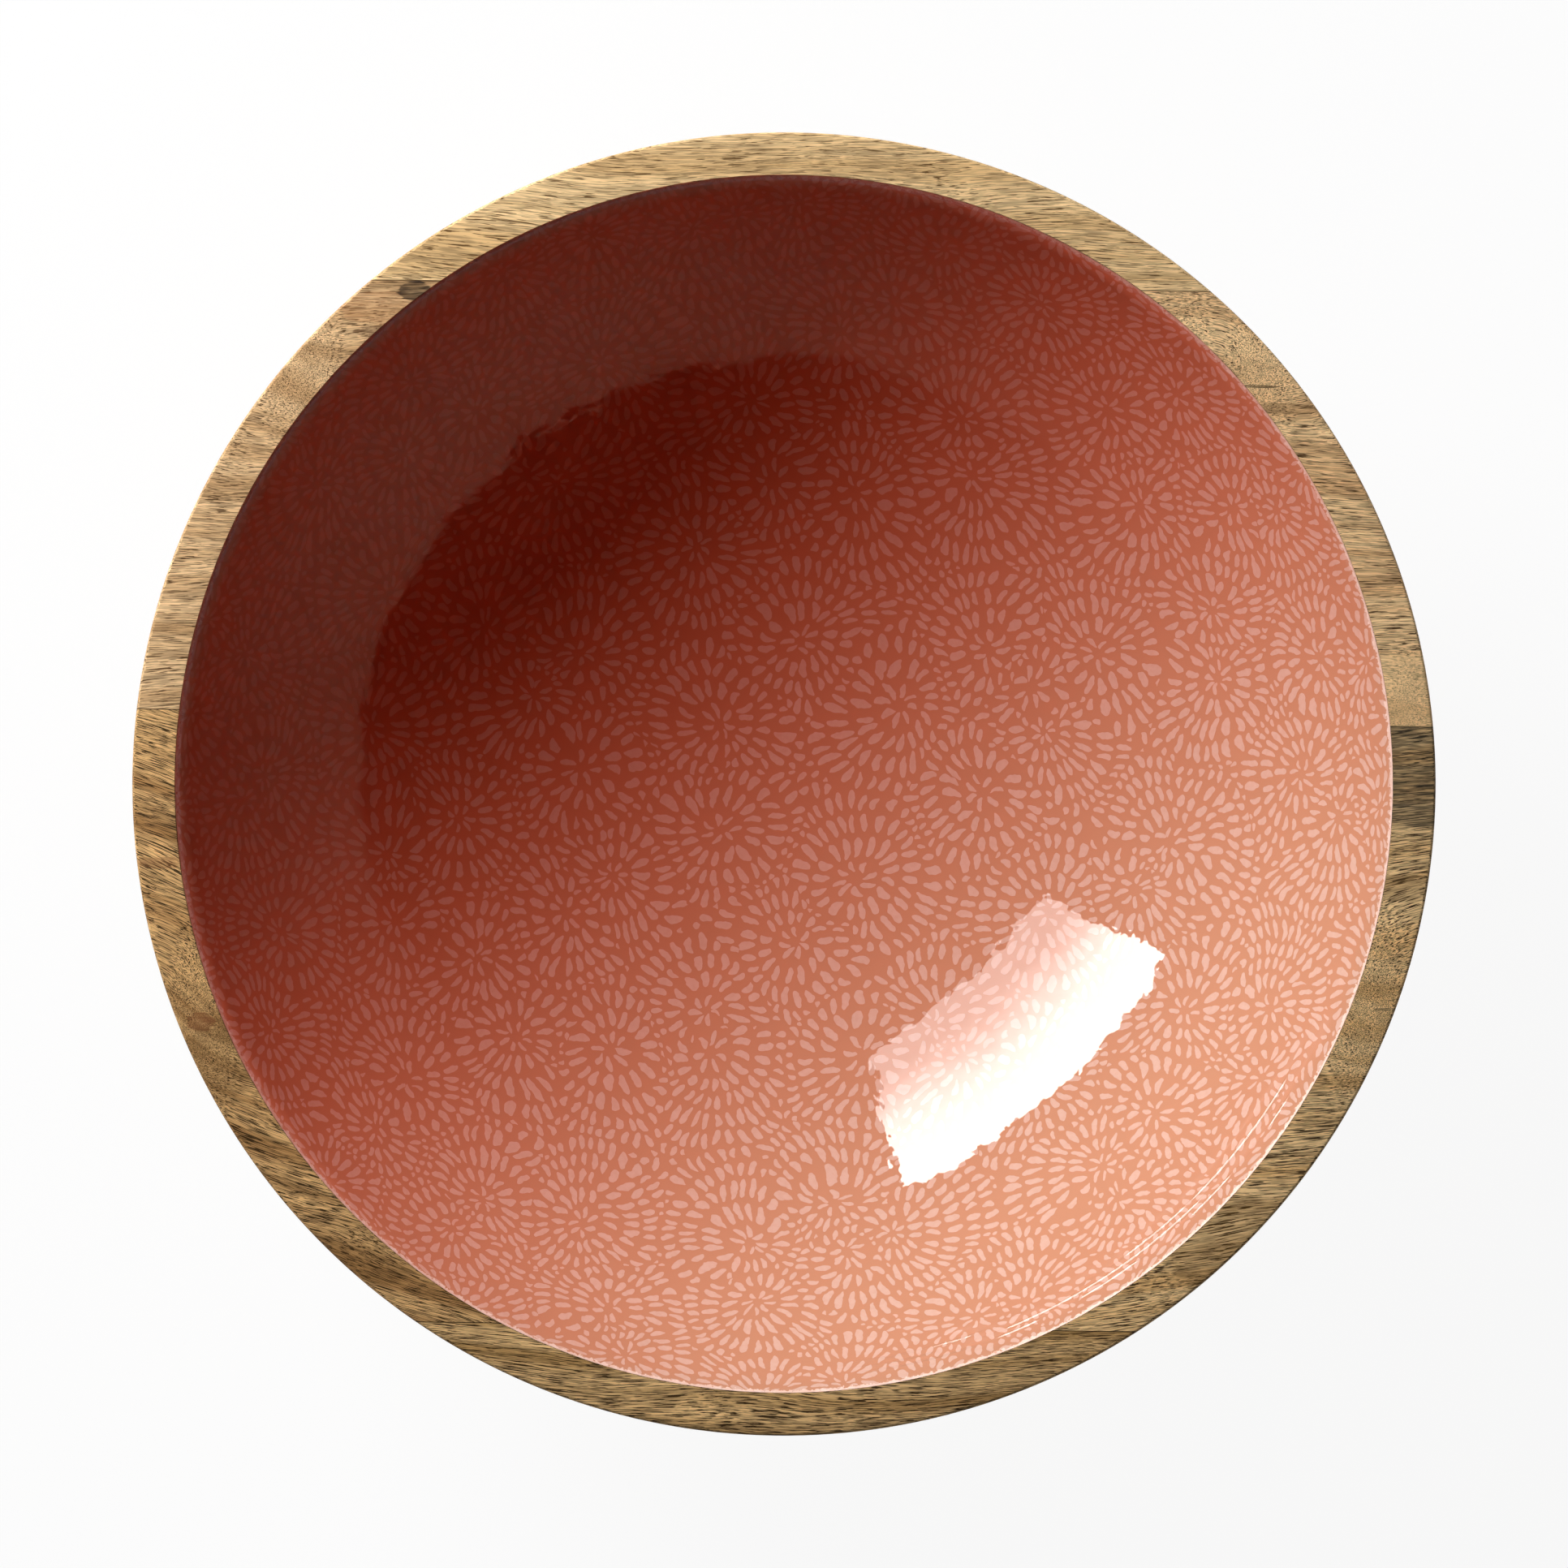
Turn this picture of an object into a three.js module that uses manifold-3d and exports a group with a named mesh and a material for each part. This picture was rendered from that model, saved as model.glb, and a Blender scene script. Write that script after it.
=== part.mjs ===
// Wooden serving bowl, turned from a blank of glued boards and lined with enamel.
// Millimetres, +Z up, the grain of every board along X, the foot on z = 0 and the bowl's axis on Z.
import * as THREE from 'three';
import { mergeVertices, toCreasedNormals } from 'three/addons/utils/BufferGeometryUtils.js';
import Module from 'manifold-3d';

// Size of the bowl
const RIM_DIAMETER = 300;
const HEIGHT = 100;
const RIM_WIDTH = 9.8;
const RIM_ARRIS = 0.8;
const WALL_THICKNESS = 12;
const FLOOR_THICKNESS = 12;

// Foot, with a shallow recess that leaves a ring to stand on
const FOOT_DIAMETER = 112;
const FOOT_ARRIS = 1.6;
const FOOT_RING_WIDTH = 13;
const RECESS_DEPTH = 1.8;
const RECESS_SLOPE = 3;

// Blank: three layers of boards, measured across the grain
const BASE_LAYER = 34;
const WALL_LAYER = 33;
const RIM_BACK_BOARD = 35.4;
const RIM_MIDDLE_JOINT = 15.2;
const RIM_FRONT_BOARD = 25.1;
const WALL_BACK_BOARD = 68;
const WALL_MIDDLE_JOINT = -22;
const WALL_FRONT_BOARD = 44;
const BASE_CENTRE_BOARD = 76;
const BASE_CENTRE_OFFSET = -6;
const GLUE_LINE = 0.15;

// Enamel lining, and the bond between it and the wood
const LINING_THICKNESS = 0.9;
const LINING_ARRIS = 0.35;
const LINING_BOND = 0.15;

// Fineness of the round surfaces
const SECTORS = 72;
const WALL_STEPS = 9;
const ARRIS_STEPS = 2;
const CREASE_ANGLE = Math.PI / 6;

const woodMaterial = new THREE.MeshStandardMaterial({ color: 0xb98f5f, roughness: 0.55, metalness: 0 });
const enamelMaterial = new THREE.MeshStandardMaterial({ color: 0xd8805c, roughness: 0.12, metalness: 0 });

const wasm = await Module();
wasm.setup();

const bowl = new THREE.Group();
bowl.name = 'wooden_bowl';

// Points along an arc, both ends included; angles in radians from the +r direction.
function arc(centreR, centreZ, radius, fromAngle, toAngle, steps) {
  const points = [];
  for (let step = 0; step <= steps; step += 1) {
    const angle = fromAngle + (toAngle - fromAngle) * step / steps;
    points.push([centreR + radius * Math.cos(angle), centreZ + radius * Math.sin(angle)]);
  }
  return points;
}

// A closed body of revolution about Z from an outline of [radius, height] points.
function turned(outline) {
  const points = outline.map(([r, z]) => new THREE.Vector2(Math.max(r, 0), z));
  const geometry = new THREE.LatheGeometry(points, SECTORS);
  geometry.rotateX(Math.PI / 2);
  return geometry;
}

function toManifold(geometry) {
  const bare = geometry.clone();
  bare.deleteAttribute('normal');
  bare.deleteAttribute('uv');
  const merged = mergeVertices(bare);
  const mesh = new wasm.Mesh({
    numProp: 3,
    vertProperties: new Float32Array(merged.attributes.position.array),
    triVerts: new Uint32Array(merged.index.array),
  });
  return new wasm.Manifold(mesh);
}

function toGeometry(solid) {
  const mesh = solid.getMesh();
  const geometry = new THREE.BufferGeometry();
  geometry.setAttribute('position', new THREE.BufferAttribute(new Float32Array(mesh.vertProperties), 3));
  geometry.setIndex(new THREE.BufferAttribute(new Uint32Array(mesh.triVerts), 1));
  return geometry;
}

function addPiece(name, geometry, material) {
  const piece = new THREE.Mesh(toCreasedNormals(geometry, CREASE_ANGLE), material);
  piece.name = name;
  bowl.add(piece);
}

// Inside of the bowl: one arc about a point on the axis, from the middle of the floor to the rim.
const rimRadius = RIM_DIAMETER / 2;
const footRadius = FOOT_DIAMETER / 2;
const rimJointRadius = rimRadius - RIM_WIDTH;
const woodDepth = HEIGHT - FLOOR_THICKNESS + LINING_THICKNESS + LINING_BOND;
const hollowRadius = (rimJointRadius ** 2 + woodDepth ** 2) / (2 * woodDepth);
const hollowCentre = HEIGHT - woodDepth + hollowRadius;
const floorAngle = -Math.PI / 2;

// Angle at which an arc about the hollow's centre reaches a height.
function hollowAngleAt(radius, height) {
  return Math.asin((height - hollowCentre) / radius);
}

// Outside of the wall: an arc from the top of the foot's arris to the bottom of the rim's arris, which
// bulges from its chord until the wood has its full thickness halfway up.
const wallFoot = [footRadius, FOOT_ARRIS];
const wallTop = [rimRadius, HEIGHT - RIM_ARRIS];
const chordMiddle = [(wallFoot[0] + wallTop[0]) / 2, (wallFoot[1] + wallTop[1]) / 2];
const chord = Math.hypot(wallTop[0] - wallFoot[0], wallTop[1] - wallFoot[1]);
const chordSlope = Math.atan2(wallTop[1] - wallFoot[1], wallTop[0] - wallFoot[0]);
const bulge = hollowRadius + WALL_THICKNESS - Math.hypot(chordMiddle[0], chordMiddle[1] - hollowCentre);
const wallRadius = (chord ** 2 / 4 + bulge ** 2) / (2 * bulge);
const wallCentre = [
  chordMiddle[0] - (wallRadius - bulge) * Math.sin(chordSlope),
  chordMiddle[1] + (wallRadius - bulge) * Math.cos(chordSlope),
];
const wallFootAngle = Math.atan2(wallFoot[1] - wallCentre[1], wallFoot[0] - wallCentre[0]);
const wallTopAngle = Math.atan2(wallTop[1] - wallCentre[1], wallTop[0] - wallCentre[0]);

function wallRadiusAt(height) {
  return wallCentre[0] + Math.sqrt(wallRadius ** 2 - (height - wallCentre[1]) ** 2);
}

// The turned wood as one body, before it is parted into its boards
const recessRadius = footRadius - FOOT_RING_WIDTH;
const hollowRimAngle = hollowAngleAt(hollowRadius, HEIGHT);
const woodOutline = [
  [0, RECESS_DEPTH],
  [recessRadius - RECESS_SLOPE, RECESS_DEPTH],
  [recessRadius, 0],
  ...arc(footRadius - FOOT_ARRIS, FOOT_ARRIS, FOOT_ARRIS, floorAngle, 0, ARRIS_STEPS).slice(0, -1),
  ...arc(wallCentre[0], wallCentre[1], wallRadius, wallFootAngle, wallTopAngle, WALL_STEPS),
  ...arc(rimRadius - RIM_ARRIS, HEIGHT - RIM_ARRIS, RIM_ARRIS, 0, -floorAngle, ARRIS_STEPS).slice(1),
  ...arc(0, hollowCentre, hollowRadius, hollowRimAngle, floorAngle, WALL_STEPS),
];
const turnedWood = toManifold(turned(woodOutline));

// One board: the turned wood between two glue lines, two layer heights and two limits along the grain.
function board(name, [left, right], [front, back], [low, high]) {
  const block = new THREE.BoxGeometry(right - left, back - front, high - low);
  block.translate((left + right) / 2, (front + back) / 2, (low + high) / 2);
  addPiece(name, toGeometry(turnedWood.intersect(toManifold(block))), woodMaterial);
}

const halfGlue = GLUE_LINE / 2;
const beyond = rimRadius + RIM_WIDTH;

// A layer that the cavity opens right through: the outer boards stay whole as crescents, and the
// cavity leaves the two middle boards as a left and a right piece.
function ringLayer(name, heights, frontJoint, middleJoint, backJoint) {
  const backStrip = [middleJoint + halfGlue, backJoint - halfGlue];
  const frontStrip = [frontJoint + halfGlue, middleJoint - halfGlue];
  board(`${name}_back_board`, [-beyond, beyond], [backJoint + halfGlue, beyond], heights);
  board(`${name}_left_back_board`, [-beyond, 0], backStrip, heights);
  board(`${name}_right_back_board`, [0, beyond], backStrip, heights);
  board(`${name}_left_front_board`, [-beyond, 0], frontStrip, heights);
  board(`${name}_right_front_board`, [0, beyond], frontStrip, heights);
  board(`${name}_front_board`, [-beyond, beyond], [-beyond, frontJoint - halfGlue], heights);
}

// Heights of the layers, and the glue lines of each
const baseTop = BASE_LAYER;
const wallLayerTop = BASE_LAYER + WALL_LAYER;
const rimHeights = [wallLayerTop + halfGlue, HEIGHT + RIM_WIDTH];
const wallHeights = [baseTop + halfGlue, wallLayerTop - halfGlue];
const baseHeights = [-RIM_WIDTH, baseTop - halfGlue];
const wallLayerRadius = wallRadiusAt(wallLayerTop);

// Rim layer
ringLayer('rim', rimHeights, RIM_FRONT_BOARD - rimRadius, RIM_MIDDLE_JOINT, rimRadius - RIM_BACK_BOARD);

// Wall layer, with its glue lines clear of those above
ringLayer('wall', wallHeights, WALL_FRONT_BOARD - wallLayerRadius, WALL_MIDDLE_JOINT,
  wallLayerRadius - WALL_BACK_BOARD);

// Base layer, whose three boards run whole under the floor
const baseBackJoint = BASE_CENTRE_OFFSET + BASE_CENTRE_BOARD / 2;
const baseFrontJoint = BASE_CENTRE_OFFSET - BASE_CENTRE_BOARD / 2;
board('base_back_board', [-beyond, beyond], [baseBackJoint + halfGlue, beyond], baseHeights);
board('base_centre_board', [-beyond, beyond], [baseFrontJoint + halfGlue, baseBackJoint - halfGlue], baseHeights);
board('base_front_board', [-beyond, beyond], [-beyond, baseFrontJoint - halfGlue], baseHeights);

// Enamel lining: a shell of even thickness, flush with the rim, its free edge eased
const liningBack = hollowRadius - LINING_BOND;
const liningFace = liningBack - LINING_THICKNESS;
const backRimAngle = hollowAngleAt(liningBack, HEIGHT);
const arrisAngle = hollowAngleAt(liningFace, HEIGHT - LINING_ARRIS);
const arrisRadius = liningFace * Math.cos(hollowAngleAt(liningFace, HEIGHT)) + LINING_ARRIS;
const liningOutline = [
  ...arc(0, hollowCentre, liningBack, floorAngle, backRimAngle, WALL_STEPS),
  [arrisRadius, HEIGHT],
  ...arc(0, hollowCentre, liningFace, arrisAngle, floorAngle, WALL_STEPS),
];
addPiece('enamel_lining', turned(liningOutline), enamelMaterial);

export default bowl;
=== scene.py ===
import math
import random

import bmesh
import bpy
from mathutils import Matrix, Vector, noise


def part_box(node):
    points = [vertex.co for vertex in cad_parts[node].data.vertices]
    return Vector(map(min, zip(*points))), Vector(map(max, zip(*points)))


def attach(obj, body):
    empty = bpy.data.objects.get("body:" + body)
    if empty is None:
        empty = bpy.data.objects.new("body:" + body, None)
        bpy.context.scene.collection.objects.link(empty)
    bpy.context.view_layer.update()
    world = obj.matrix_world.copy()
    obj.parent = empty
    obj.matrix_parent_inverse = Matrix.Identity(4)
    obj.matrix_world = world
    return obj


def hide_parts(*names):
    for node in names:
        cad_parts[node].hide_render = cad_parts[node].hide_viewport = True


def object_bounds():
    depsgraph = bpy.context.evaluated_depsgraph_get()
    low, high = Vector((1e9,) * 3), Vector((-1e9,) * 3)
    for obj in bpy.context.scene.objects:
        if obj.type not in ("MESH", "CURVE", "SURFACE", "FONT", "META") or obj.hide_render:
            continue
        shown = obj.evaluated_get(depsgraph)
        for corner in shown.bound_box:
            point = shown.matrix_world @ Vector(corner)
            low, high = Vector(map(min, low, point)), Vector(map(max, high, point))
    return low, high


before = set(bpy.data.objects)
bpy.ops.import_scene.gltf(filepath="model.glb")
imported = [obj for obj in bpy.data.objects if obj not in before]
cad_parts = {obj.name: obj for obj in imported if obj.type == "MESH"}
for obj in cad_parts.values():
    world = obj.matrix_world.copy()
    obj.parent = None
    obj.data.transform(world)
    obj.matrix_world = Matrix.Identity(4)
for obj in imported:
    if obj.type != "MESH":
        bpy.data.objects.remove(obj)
cad_box = [list(corner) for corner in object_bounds()]

# Turned blank
# The bowl is turned on a lathe from one blank of glued boards, inside and out, so all the boards share
# these surfaces. The hollow is one arc, the wall another, and the foot has a shallow recess.
MM = 0.001
RIM_ARRIS = 0.8 * MM
WALL_THICKNESS = 12 * MM
FOOT_RADIUS = 56 * MM
FOOT_ARRIS = 1.6 * MM
FOOT_RING = 13 * MM
RECESS_DEPTH = 1.8 * MM
RECESS_SLOPE = 3 * MM
BOND = 0.15 * MM
ON_AXIS = 0.001 * MM
SECTORS = 288
WALL_STEPS = 36
ARRIS_STEPS = 6
SHARP_EDGE = math.radians(25)

lining_low, lining_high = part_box("enamel_lining")
rim_radius = cad_box[1][0]
bowl_height = cad_box[1][2]
lining_depth = bowl_height - lining_low.z
lining_back = (lining_high.x ** 2 + lining_depth ** 2) / (2 * lining_depth)
hollow_centre = lining_low.z + lining_back
hollow_radius = lining_back + BOND
down = -math.pi / 2


def arc(centre_r, centre_z, radius, start, end, steps):
    """Points along an arc of the outline, both ends included."""
    angles = [start + (end - start) * step / steps for step in range(steps + 1)]
    return [(centre_r + radius * math.cos(a), centre_z + radius * math.sin(a)) for a in angles]


def hollow_angle(radius, height):
    """Where an arc about the hollow's centre reaches a height."""
    return math.asin((height - hollow_centre) / radius)


def wall_arc():
    """The outside of the wall, from the foot to the rim, full thickness halfway up."""
    foot = Vector((FOOT_RADIUS, FOOT_ARRIS))
    top = Vector((rim_radius, bowl_height - RIM_ARRIS))
    middle = (foot + top) / 2
    chord = top - foot
    bulge = hollow_radius + WALL_THICKNESS - (middle - Vector((0, hollow_centre))).length
    radius = (chord.length_squared / 4 + bulge ** 2) / (2 * bulge)
    centre = middle + Vector((-chord.y, chord.x)).normalized() * (radius - bulge)
    start = math.atan2(foot.y - centre.y, foot.x - centre.x)
    end = math.atan2(top.y - centre.y, top.x - centre.x)
    return arc(centre.x, centre.y, radius, start, end, WALL_STEPS)


def turn(outline, shape=None):
    """A body of revolution from outline points, which a shape may move at each angle."""
    body = bmesh.new()
    turns = [2 * math.pi * step / SECTORS for step in range(SECTORS)]
    rings = []
    for radius, height in outline:
        if radius < ON_AXIS:
            rings.append([body.verts.new((0, 0, height))] * SECTORS)
            continue
        ring = []
        for angle in turns:
            r, z = shape(radius, height, angle) if shape else (radius, height)
            ring.append(body.verts.new((r * math.cos(angle), r * math.sin(angle), z)))
        rings.append(ring)
    for inner, outer in zip(rings, rings[1:]):
        for here in range(SECTORS):
            following = (here + 1) % SECTORS
            corners = [inner[here], inner[following], outer[following], outer[here]]
            body.faces.new(list(dict.fromkeys(corners)))
    bmesh.ops.recalc_face_normals(body, faces=body.faces)
    return body


def finish_piece(name, body, material):
    """Makes a mesh body into a smooth-shaded piece that stands for the CAD node of the same name."""
    for face in body.faces:
        face.smooth = True
    for edge in body.edges:
        edge.smooth = len(edge.link_faces) == 2 and edge.calc_face_angle(0) < SHARP_EDGE
    mesh = bpy.data.meshes.new(name)
    body.to_mesh(mesh)
    body.free()
    mesh.materials.append(material)
    piece = bpy.data.objects.new(name + "_finish", mesh)
    bpy.context.scene.collection.objects.link(piece)
    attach(piece, "root")
    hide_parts(name)
    return piece


recess_radius = FOOT_RADIUS - FOOT_RING
turned_wood = turn([
    (0, RECESS_DEPTH),
    (recess_radius - RECESS_SLOPE, RECESS_DEPTH),
    (recess_radius, 0),
    *arc(FOOT_RADIUS - FOOT_ARRIS, FOOT_ARRIS, FOOT_ARRIS, down, 0, ARRIS_STEPS)[:-1],
    *wall_arc(),
    *arc(rim_radius - RIM_ARRIS, bowl_height - RIM_ARRIS, RIM_ARRIS, 0, -down, ARRIS_STEPS)[1:],
    *arc(0, hollow_centre, hollow_radius, hollow_angle(hollow_radius, bowl_height), down, WALL_STEPS),
])

# Wood of the boards
# Mango wood, sanded and oiled: a pale to brown ground with long darker bands along X, fine fibre and
# open pores. The pores are dashes where the fibres lie flat and dots where they dive into the surface.
COLOUR_INPUTS = (0, 6, 7)
COLOUR_OUTPUT = 2


class Signal:
    """A number that changes over the surface: a node's output, with arithmetic that adds nodes."""

    def __init__(self, tree, socket):
        self.tree = tree
        self.socket = socket

    def add_node(self, kind, values, **options):
        """Adds a node that takes the values in order, and returns what it puts out."""
        made = place(self.tree, kind, dict(enumerate(values)), **options)
        return Signal(self.tree, made.outputs[0])

    def math(self, operation, *others):
        """The result of an operation on this number and others."""
        return self.add_node("ShaderNodeMath", [self, *others], operation=operation)

    def __add__(self, other):
        return self.math("ADD", other)

    def __sub__(self, other):
        return self.math("SUBTRACT", other)

    def __mul__(self, other):
        return self.math("MULTIPLY", other)

    def __truediv__(self, other):
        return self.math("DIVIDE", other)

    def ramp(self, start, end, low=0.0, high=1.0):
        """Eases from low to high as the number goes from start to end."""
        values = [self, start, end, low, high]
        return self.add_node("ShaderNodeMapRange", values, interpolation_type="SMOOTHSTEP")


def feed(tree, socket, value):
    """Sets an input to a plain value, or links another node's output to it."""
    if isinstance(value, Signal):
        tree.links.new(value.socket, socket)
    elif isinstance(value, bpy.types.NodeSocket):
        tree.links.new(value, socket)
    else:
        socket.default_value = value


def place(tree, kind, inputs=None, **options):
    """Adds a node with its options and inputs."""
    made = tree.nodes.new(kind)
    for option, value in options.items():
        setattr(made, option, value)
    for socket, value in (inputs or {}).items():
        feed(tree, made.inputs[socket], value)
    return made


def parts_of(tree, vector):
    """The x, y and z of a vector as signals."""
    made = place(tree, "ShaderNodeSeparateXYZ", {0: vector})
    return [Signal(tree, output) for output in made.outputs]


def vector_of(tree, x, y, z=0.0):
    """A vector from its x, y and z."""
    return place(tree, "ShaderNodeCombineXYZ", {0: x, 1: y, 2: z}).outputs[0]


def blend(tree, share, first, second):
    """A colour between two others."""
    values = dict(zip(COLOUR_INPUTS, (share, first, second)))
    return place(tree, "ShaderNodeMix", values, data_type="RGBA").outputs[COLOUR_OUTPUT]


def noise_at(tree, x, y, z, detail=1.0):
    """Soft noise from 0 to 1 with a grain of about one unit."""
    values = {"Vector": vector_of(tree, x, y, z), "Scale": 1.0, "Detail": detail}
    return Signal(tree, place(tree, "ShaderNodeTexNoise", values).outputs["Fac"])


def paint(code):
    """A colour from its six-figure code, as the shader's linear values."""
    channels = [int(code[start:start + 2], 16) / 255 for start in (0, 2, 4)]
    linear = [c / 12.92 if c <= 0.04045 else ((c + 0.055) / 1.055) ** 2.4 for c in channels]
    return (*linear, 1.0)


def open_group(name, inputs, outputs):
    """A shader node group with named sockets; returns its tree, its input node and its output node."""
    tree = bpy.data.node_groups.new(name, "ShaderNodeTree")
    for socket, kind in inputs.items():
        tree.interface.new_socket(socket, in_out="INPUT", socket_type="NodeSocket" + kind)
    for socket, kind in outputs.items():
        tree.interface.new_socket(socket, in_out="OUTPUT", socket_type="NodeSocket" + kind)
    return tree, tree.nodes.new("NodeGroupInput"), tree.nodes.new("NodeGroupOutput")


def surface_place(tree):
    """Where a surface point is, in millimetres."""
    spot = place(tree, "ShaderNodeTexCoord").outputs["Object"]
    scaled = place(tree, "ShaderNodeVectorMath", {0: spot, "Scale": 1 / MM}, operation="SCALE")
    return scaled.outputs[0]


# Sizes of the marks in millimetres, with each length along the fibres and each width across them
PORE_LENGTH = 5.4
PORE_WIDTH = 0.21
FIBRE_LENGTH = 7.0
FIBRE_WIDTH = 0.25
STREAK_LENGTH = 45.0
STREAK_WIDTH = 1.1
BLOTCH_LENGTH = 18.0
BLOTCH_WIDTH = 5.0
BAND_LENGTH = 240.0
BAND_WIDTH = 5.0
BAND_DEPTH = 24.0
GLUE_WIDTH = 0.18
GLUE_CORE = 0.3 * GLUE_WIDTH

# How far the fibres wander sideways and up and down, in millimetres
SWAY = 14.0
SWAY_LENGTH = 80.0
SWAY_WIDTH = 30.0
HEAVE = 5.0
HEAVE_LENGTH = 60.0
HEAVE_WIDTH = 20.0

# How the bands lean in a board, and how far the fibres part round a knot as a share of its reach
BAND_TILT = 0.4
DIVE_ASIDE = 0.2

# Where in the noise each mark starts and is full, and how much it covers, darkens or lightens
FEWEST_PORES = 0.64
MORE_PORES = -0.16
PORE_START = 0.03
PORE_FULL = 0.09
PORE_COVER = 0.95
GLUE_COVER = 0.9
BAND_EDGES = (0.38, 0.66)
STREAK_EDGES = (0.56, 0.72)
STREAK_LIGHT = (1.03, 0.8)
FIBRE_EDGES = (0.36, 0.64)
FIBRE_LIGHT = (0.66, 1.23)
BLOTCH_EDGES = (0.3, 0.7)
BLOTCH_LIGHT = (0.92, 1.07)

# Feel of the oiled surface
OILED_ROUGHNESS = 0.5
FIBRE_ROUGHNESS = 0.15
PORE_ROUGHNESS = 0.2
FIBRE_RELIEF = 0.25
PORE_DEPTH = 0.1 * MM
RELIEF_STRENGTH = 0.6
OILED_SHEEN = 0.22

grain, grain_in, grain_out = open_group(
    "mango_grain",
    {"Log": "Vector", "Pale": "Color", "Brown": "Color", "Pore": "Color", "Bands": "Float",
     "Pores": "Float", "Slant": "Float", "Dive": "Vector", "Dive slope": "Float",
     "Second dive": "Vector", "Second slope": "Float", "Low joints": "Vector", "High joints": "Vector"},
    {"Color": "Color", "Roughness": "Float", "Height": "Float"},
)
flat_x, flat_y, flat_z = parts_of(grain, surface_place(grain))
log_x, log_y, log_z = parts_of(grain, grain_in.outputs["Log"])
x = flat_x + log_x
y = flat_y + log_y
z = flat_z + log_z


def dive_at(centre, slope):
    """How far the fibres are lifted and pushed aside where they dive round a knot."""
    centre_x, centre_y, reach = parts_of(grain, centre)
    along = flat_x - centre_x
    across = flat_y - centre_y
    near = ((along * along + across * across) / (reach * reach) * -1.0).math("EXPONENT")
    steep = near * slope
    return along * steep, steep * reach * DIVE_ASIDE


first_lift, first_aside = dive_at(grain_in.outputs["Dive"], grain_in.outputs["Dive slope"])
second_lift, second_aside = dive_at(grain_in.outputs["Second dive"], grain_in.outputs["Second slope"])
sway = noise_at(grain, x / SWAY_LENGTH, y / SWAY_WIDTH, z / SWAY_WIDTH)
heave = noise_at(grain, x / HEAVE_LENGTH, y / HEAVE_WIDTH, z / HEAVE_WIDTH)
slanted = y + flat_x * grain_in.outputs["Slant"]
fibre_y = slanted + (sway - 0.5) * SWAY + first_aside + second_aside
fibre_z = z + (heave - 0.5) * HEAVE + first_lift + second_lift


def along_fibres(length, width, detail=1.0):
    """Noise drawn out along the fibres."""
    return noise_at(grain, x / length, fibre_y / width, fibre_z / width, detail)


pore_limit = Signal(grain, grain_in.outputs["Pores"]) * MORE_PORES + FEWEST_PORES
pores = along_fibres(PORE_LENGTH, PORE_WIDTH, detail=2.0)
pores = pores.ramp(pore_limit + PORE_START, pore_limit + PORE_FULL)
band_place = (fibre_y + fibre_z * BAND_TILT) / BAND_WIDTH
bands = noise_at(grain, x / BAND_LENGTH, band_place, fibre_z / BAND_DEPTH, detail=3.0).ramp(*BAND_EDGES)
streaks = along_fibres(STREAK_LENGTH, STREAK_WIDTH).ramp(*STREAK_EDGES)
fibre = along_fibres(FIBRE_LENGTH, FIBRE_WIDTH, detail=2.0)
blotch = along_fibres(BLOTCH_LENGTH, BLOTCH_WIDTH)

band_share = bands * grain_in.outputs["Bands"]
tone = blend(grain, band_share, grain_in.outputs["Pale"], grain_in.outputs["Brown"])
light = fibre.ramp(*FIBRE_EDGES, *FIBRE_LIGHT) * blotch.ramp(*BLOTCH_EDGES, *BLOTCH_LIGHT)
light = light * streaks.ramp(0, 1, *STREAK_LIGHT)
tone = place(grain, "ShaderNodeVectorMath", {0: tone, "Scale": light}, operation="SCALE").outputs[0]
tone = blend(grain, pores * PORE_COVER, tone, grain_in.outputs["Pore"])
_, low_y, low_z = parts_of(grain, grain_in.outputs["Low joints"])
_, high_y, high_z = parts_of(grain, grain_in.outputs["High joints"])
to_joint = flat_y - low_y
for distance in (high_y - flat_y, flat_z - low_z, high_z - flat_z):
    to_joint = to_joint.math("MINIMUM", distance)
glue = to_joint.ramp(GLUE_WIDTH, GLUE_CORE)
tone = blend(grain, glue * GLUE_COVER, tone, grain_in.outputs["Pore"])
roughness = pores * PORE_ROUGHNESS + fibre * FIBRE_ROUGHNESS + OILED_ROUGHNESS
feed(grain, grain_out.inputs["Color"], tone)
feed(grain, grain_out.inputs["Roughness"], roughness)
feed(grain, grain_out.inputs["Height"], fibre * FIBRE_RELIEF - pores - glue)

# Edges of the stains, torn along the fibres, in millimetres and in shares of a stain's size
STAIN_RAGGED = 2.5
TEAR_LENGTH = 6.0
TEAR_WIDTH = 0.7
MOST_RAGGED = 0.9
STAIN_EDGES = (1.06, 0.9)
TEAR_EDGES = (0.32, 0.68)
TEAR_COVER = (1.0, 0.5)

stain, stain_in, stain_out = open_group(
    "wood_stain",
    {"Color": "Color", "Stain": "Color", "Strength": "Float", "Centre": "Vector", "Half size": "Vector",
     "Ragged": "Float"},
    {"Color": "Color"},
)
spot_x, spot_y, spot_z = parts_of(stain, surface_place(stain))
centre_x, centre_y, _ = parts_of(stain, stain_in.outputs["Centre"])
half_x, half_y, _ = parts_of(stain, stain_in.outputs["Half size"])
along = (spot_x - centre_x) / half_x
across = (spot_y - centre_y) / half_y
torn = noise_at(stain, spot_x / TEAR_LENGTH, spot_y / TEAR_WIDTH, spot_z / TEAR_WIDTH, detail=2.0)
torn_edge = (Signal(stain, stain_in.outputs["Ragged"]) / half_y).math("MINIMUM", MOST_RAGGED)
ragged = (along * along + across * across).math("SQRT") + (torn - 0.5) * torn_edge
mark = ragged.ramp(*STAIN_EDGES) * torn.ramp(*TEAR_EDGES, *TEAR_COVER)
mark_share = mark * stain_in.outputs["Strength"]
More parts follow.
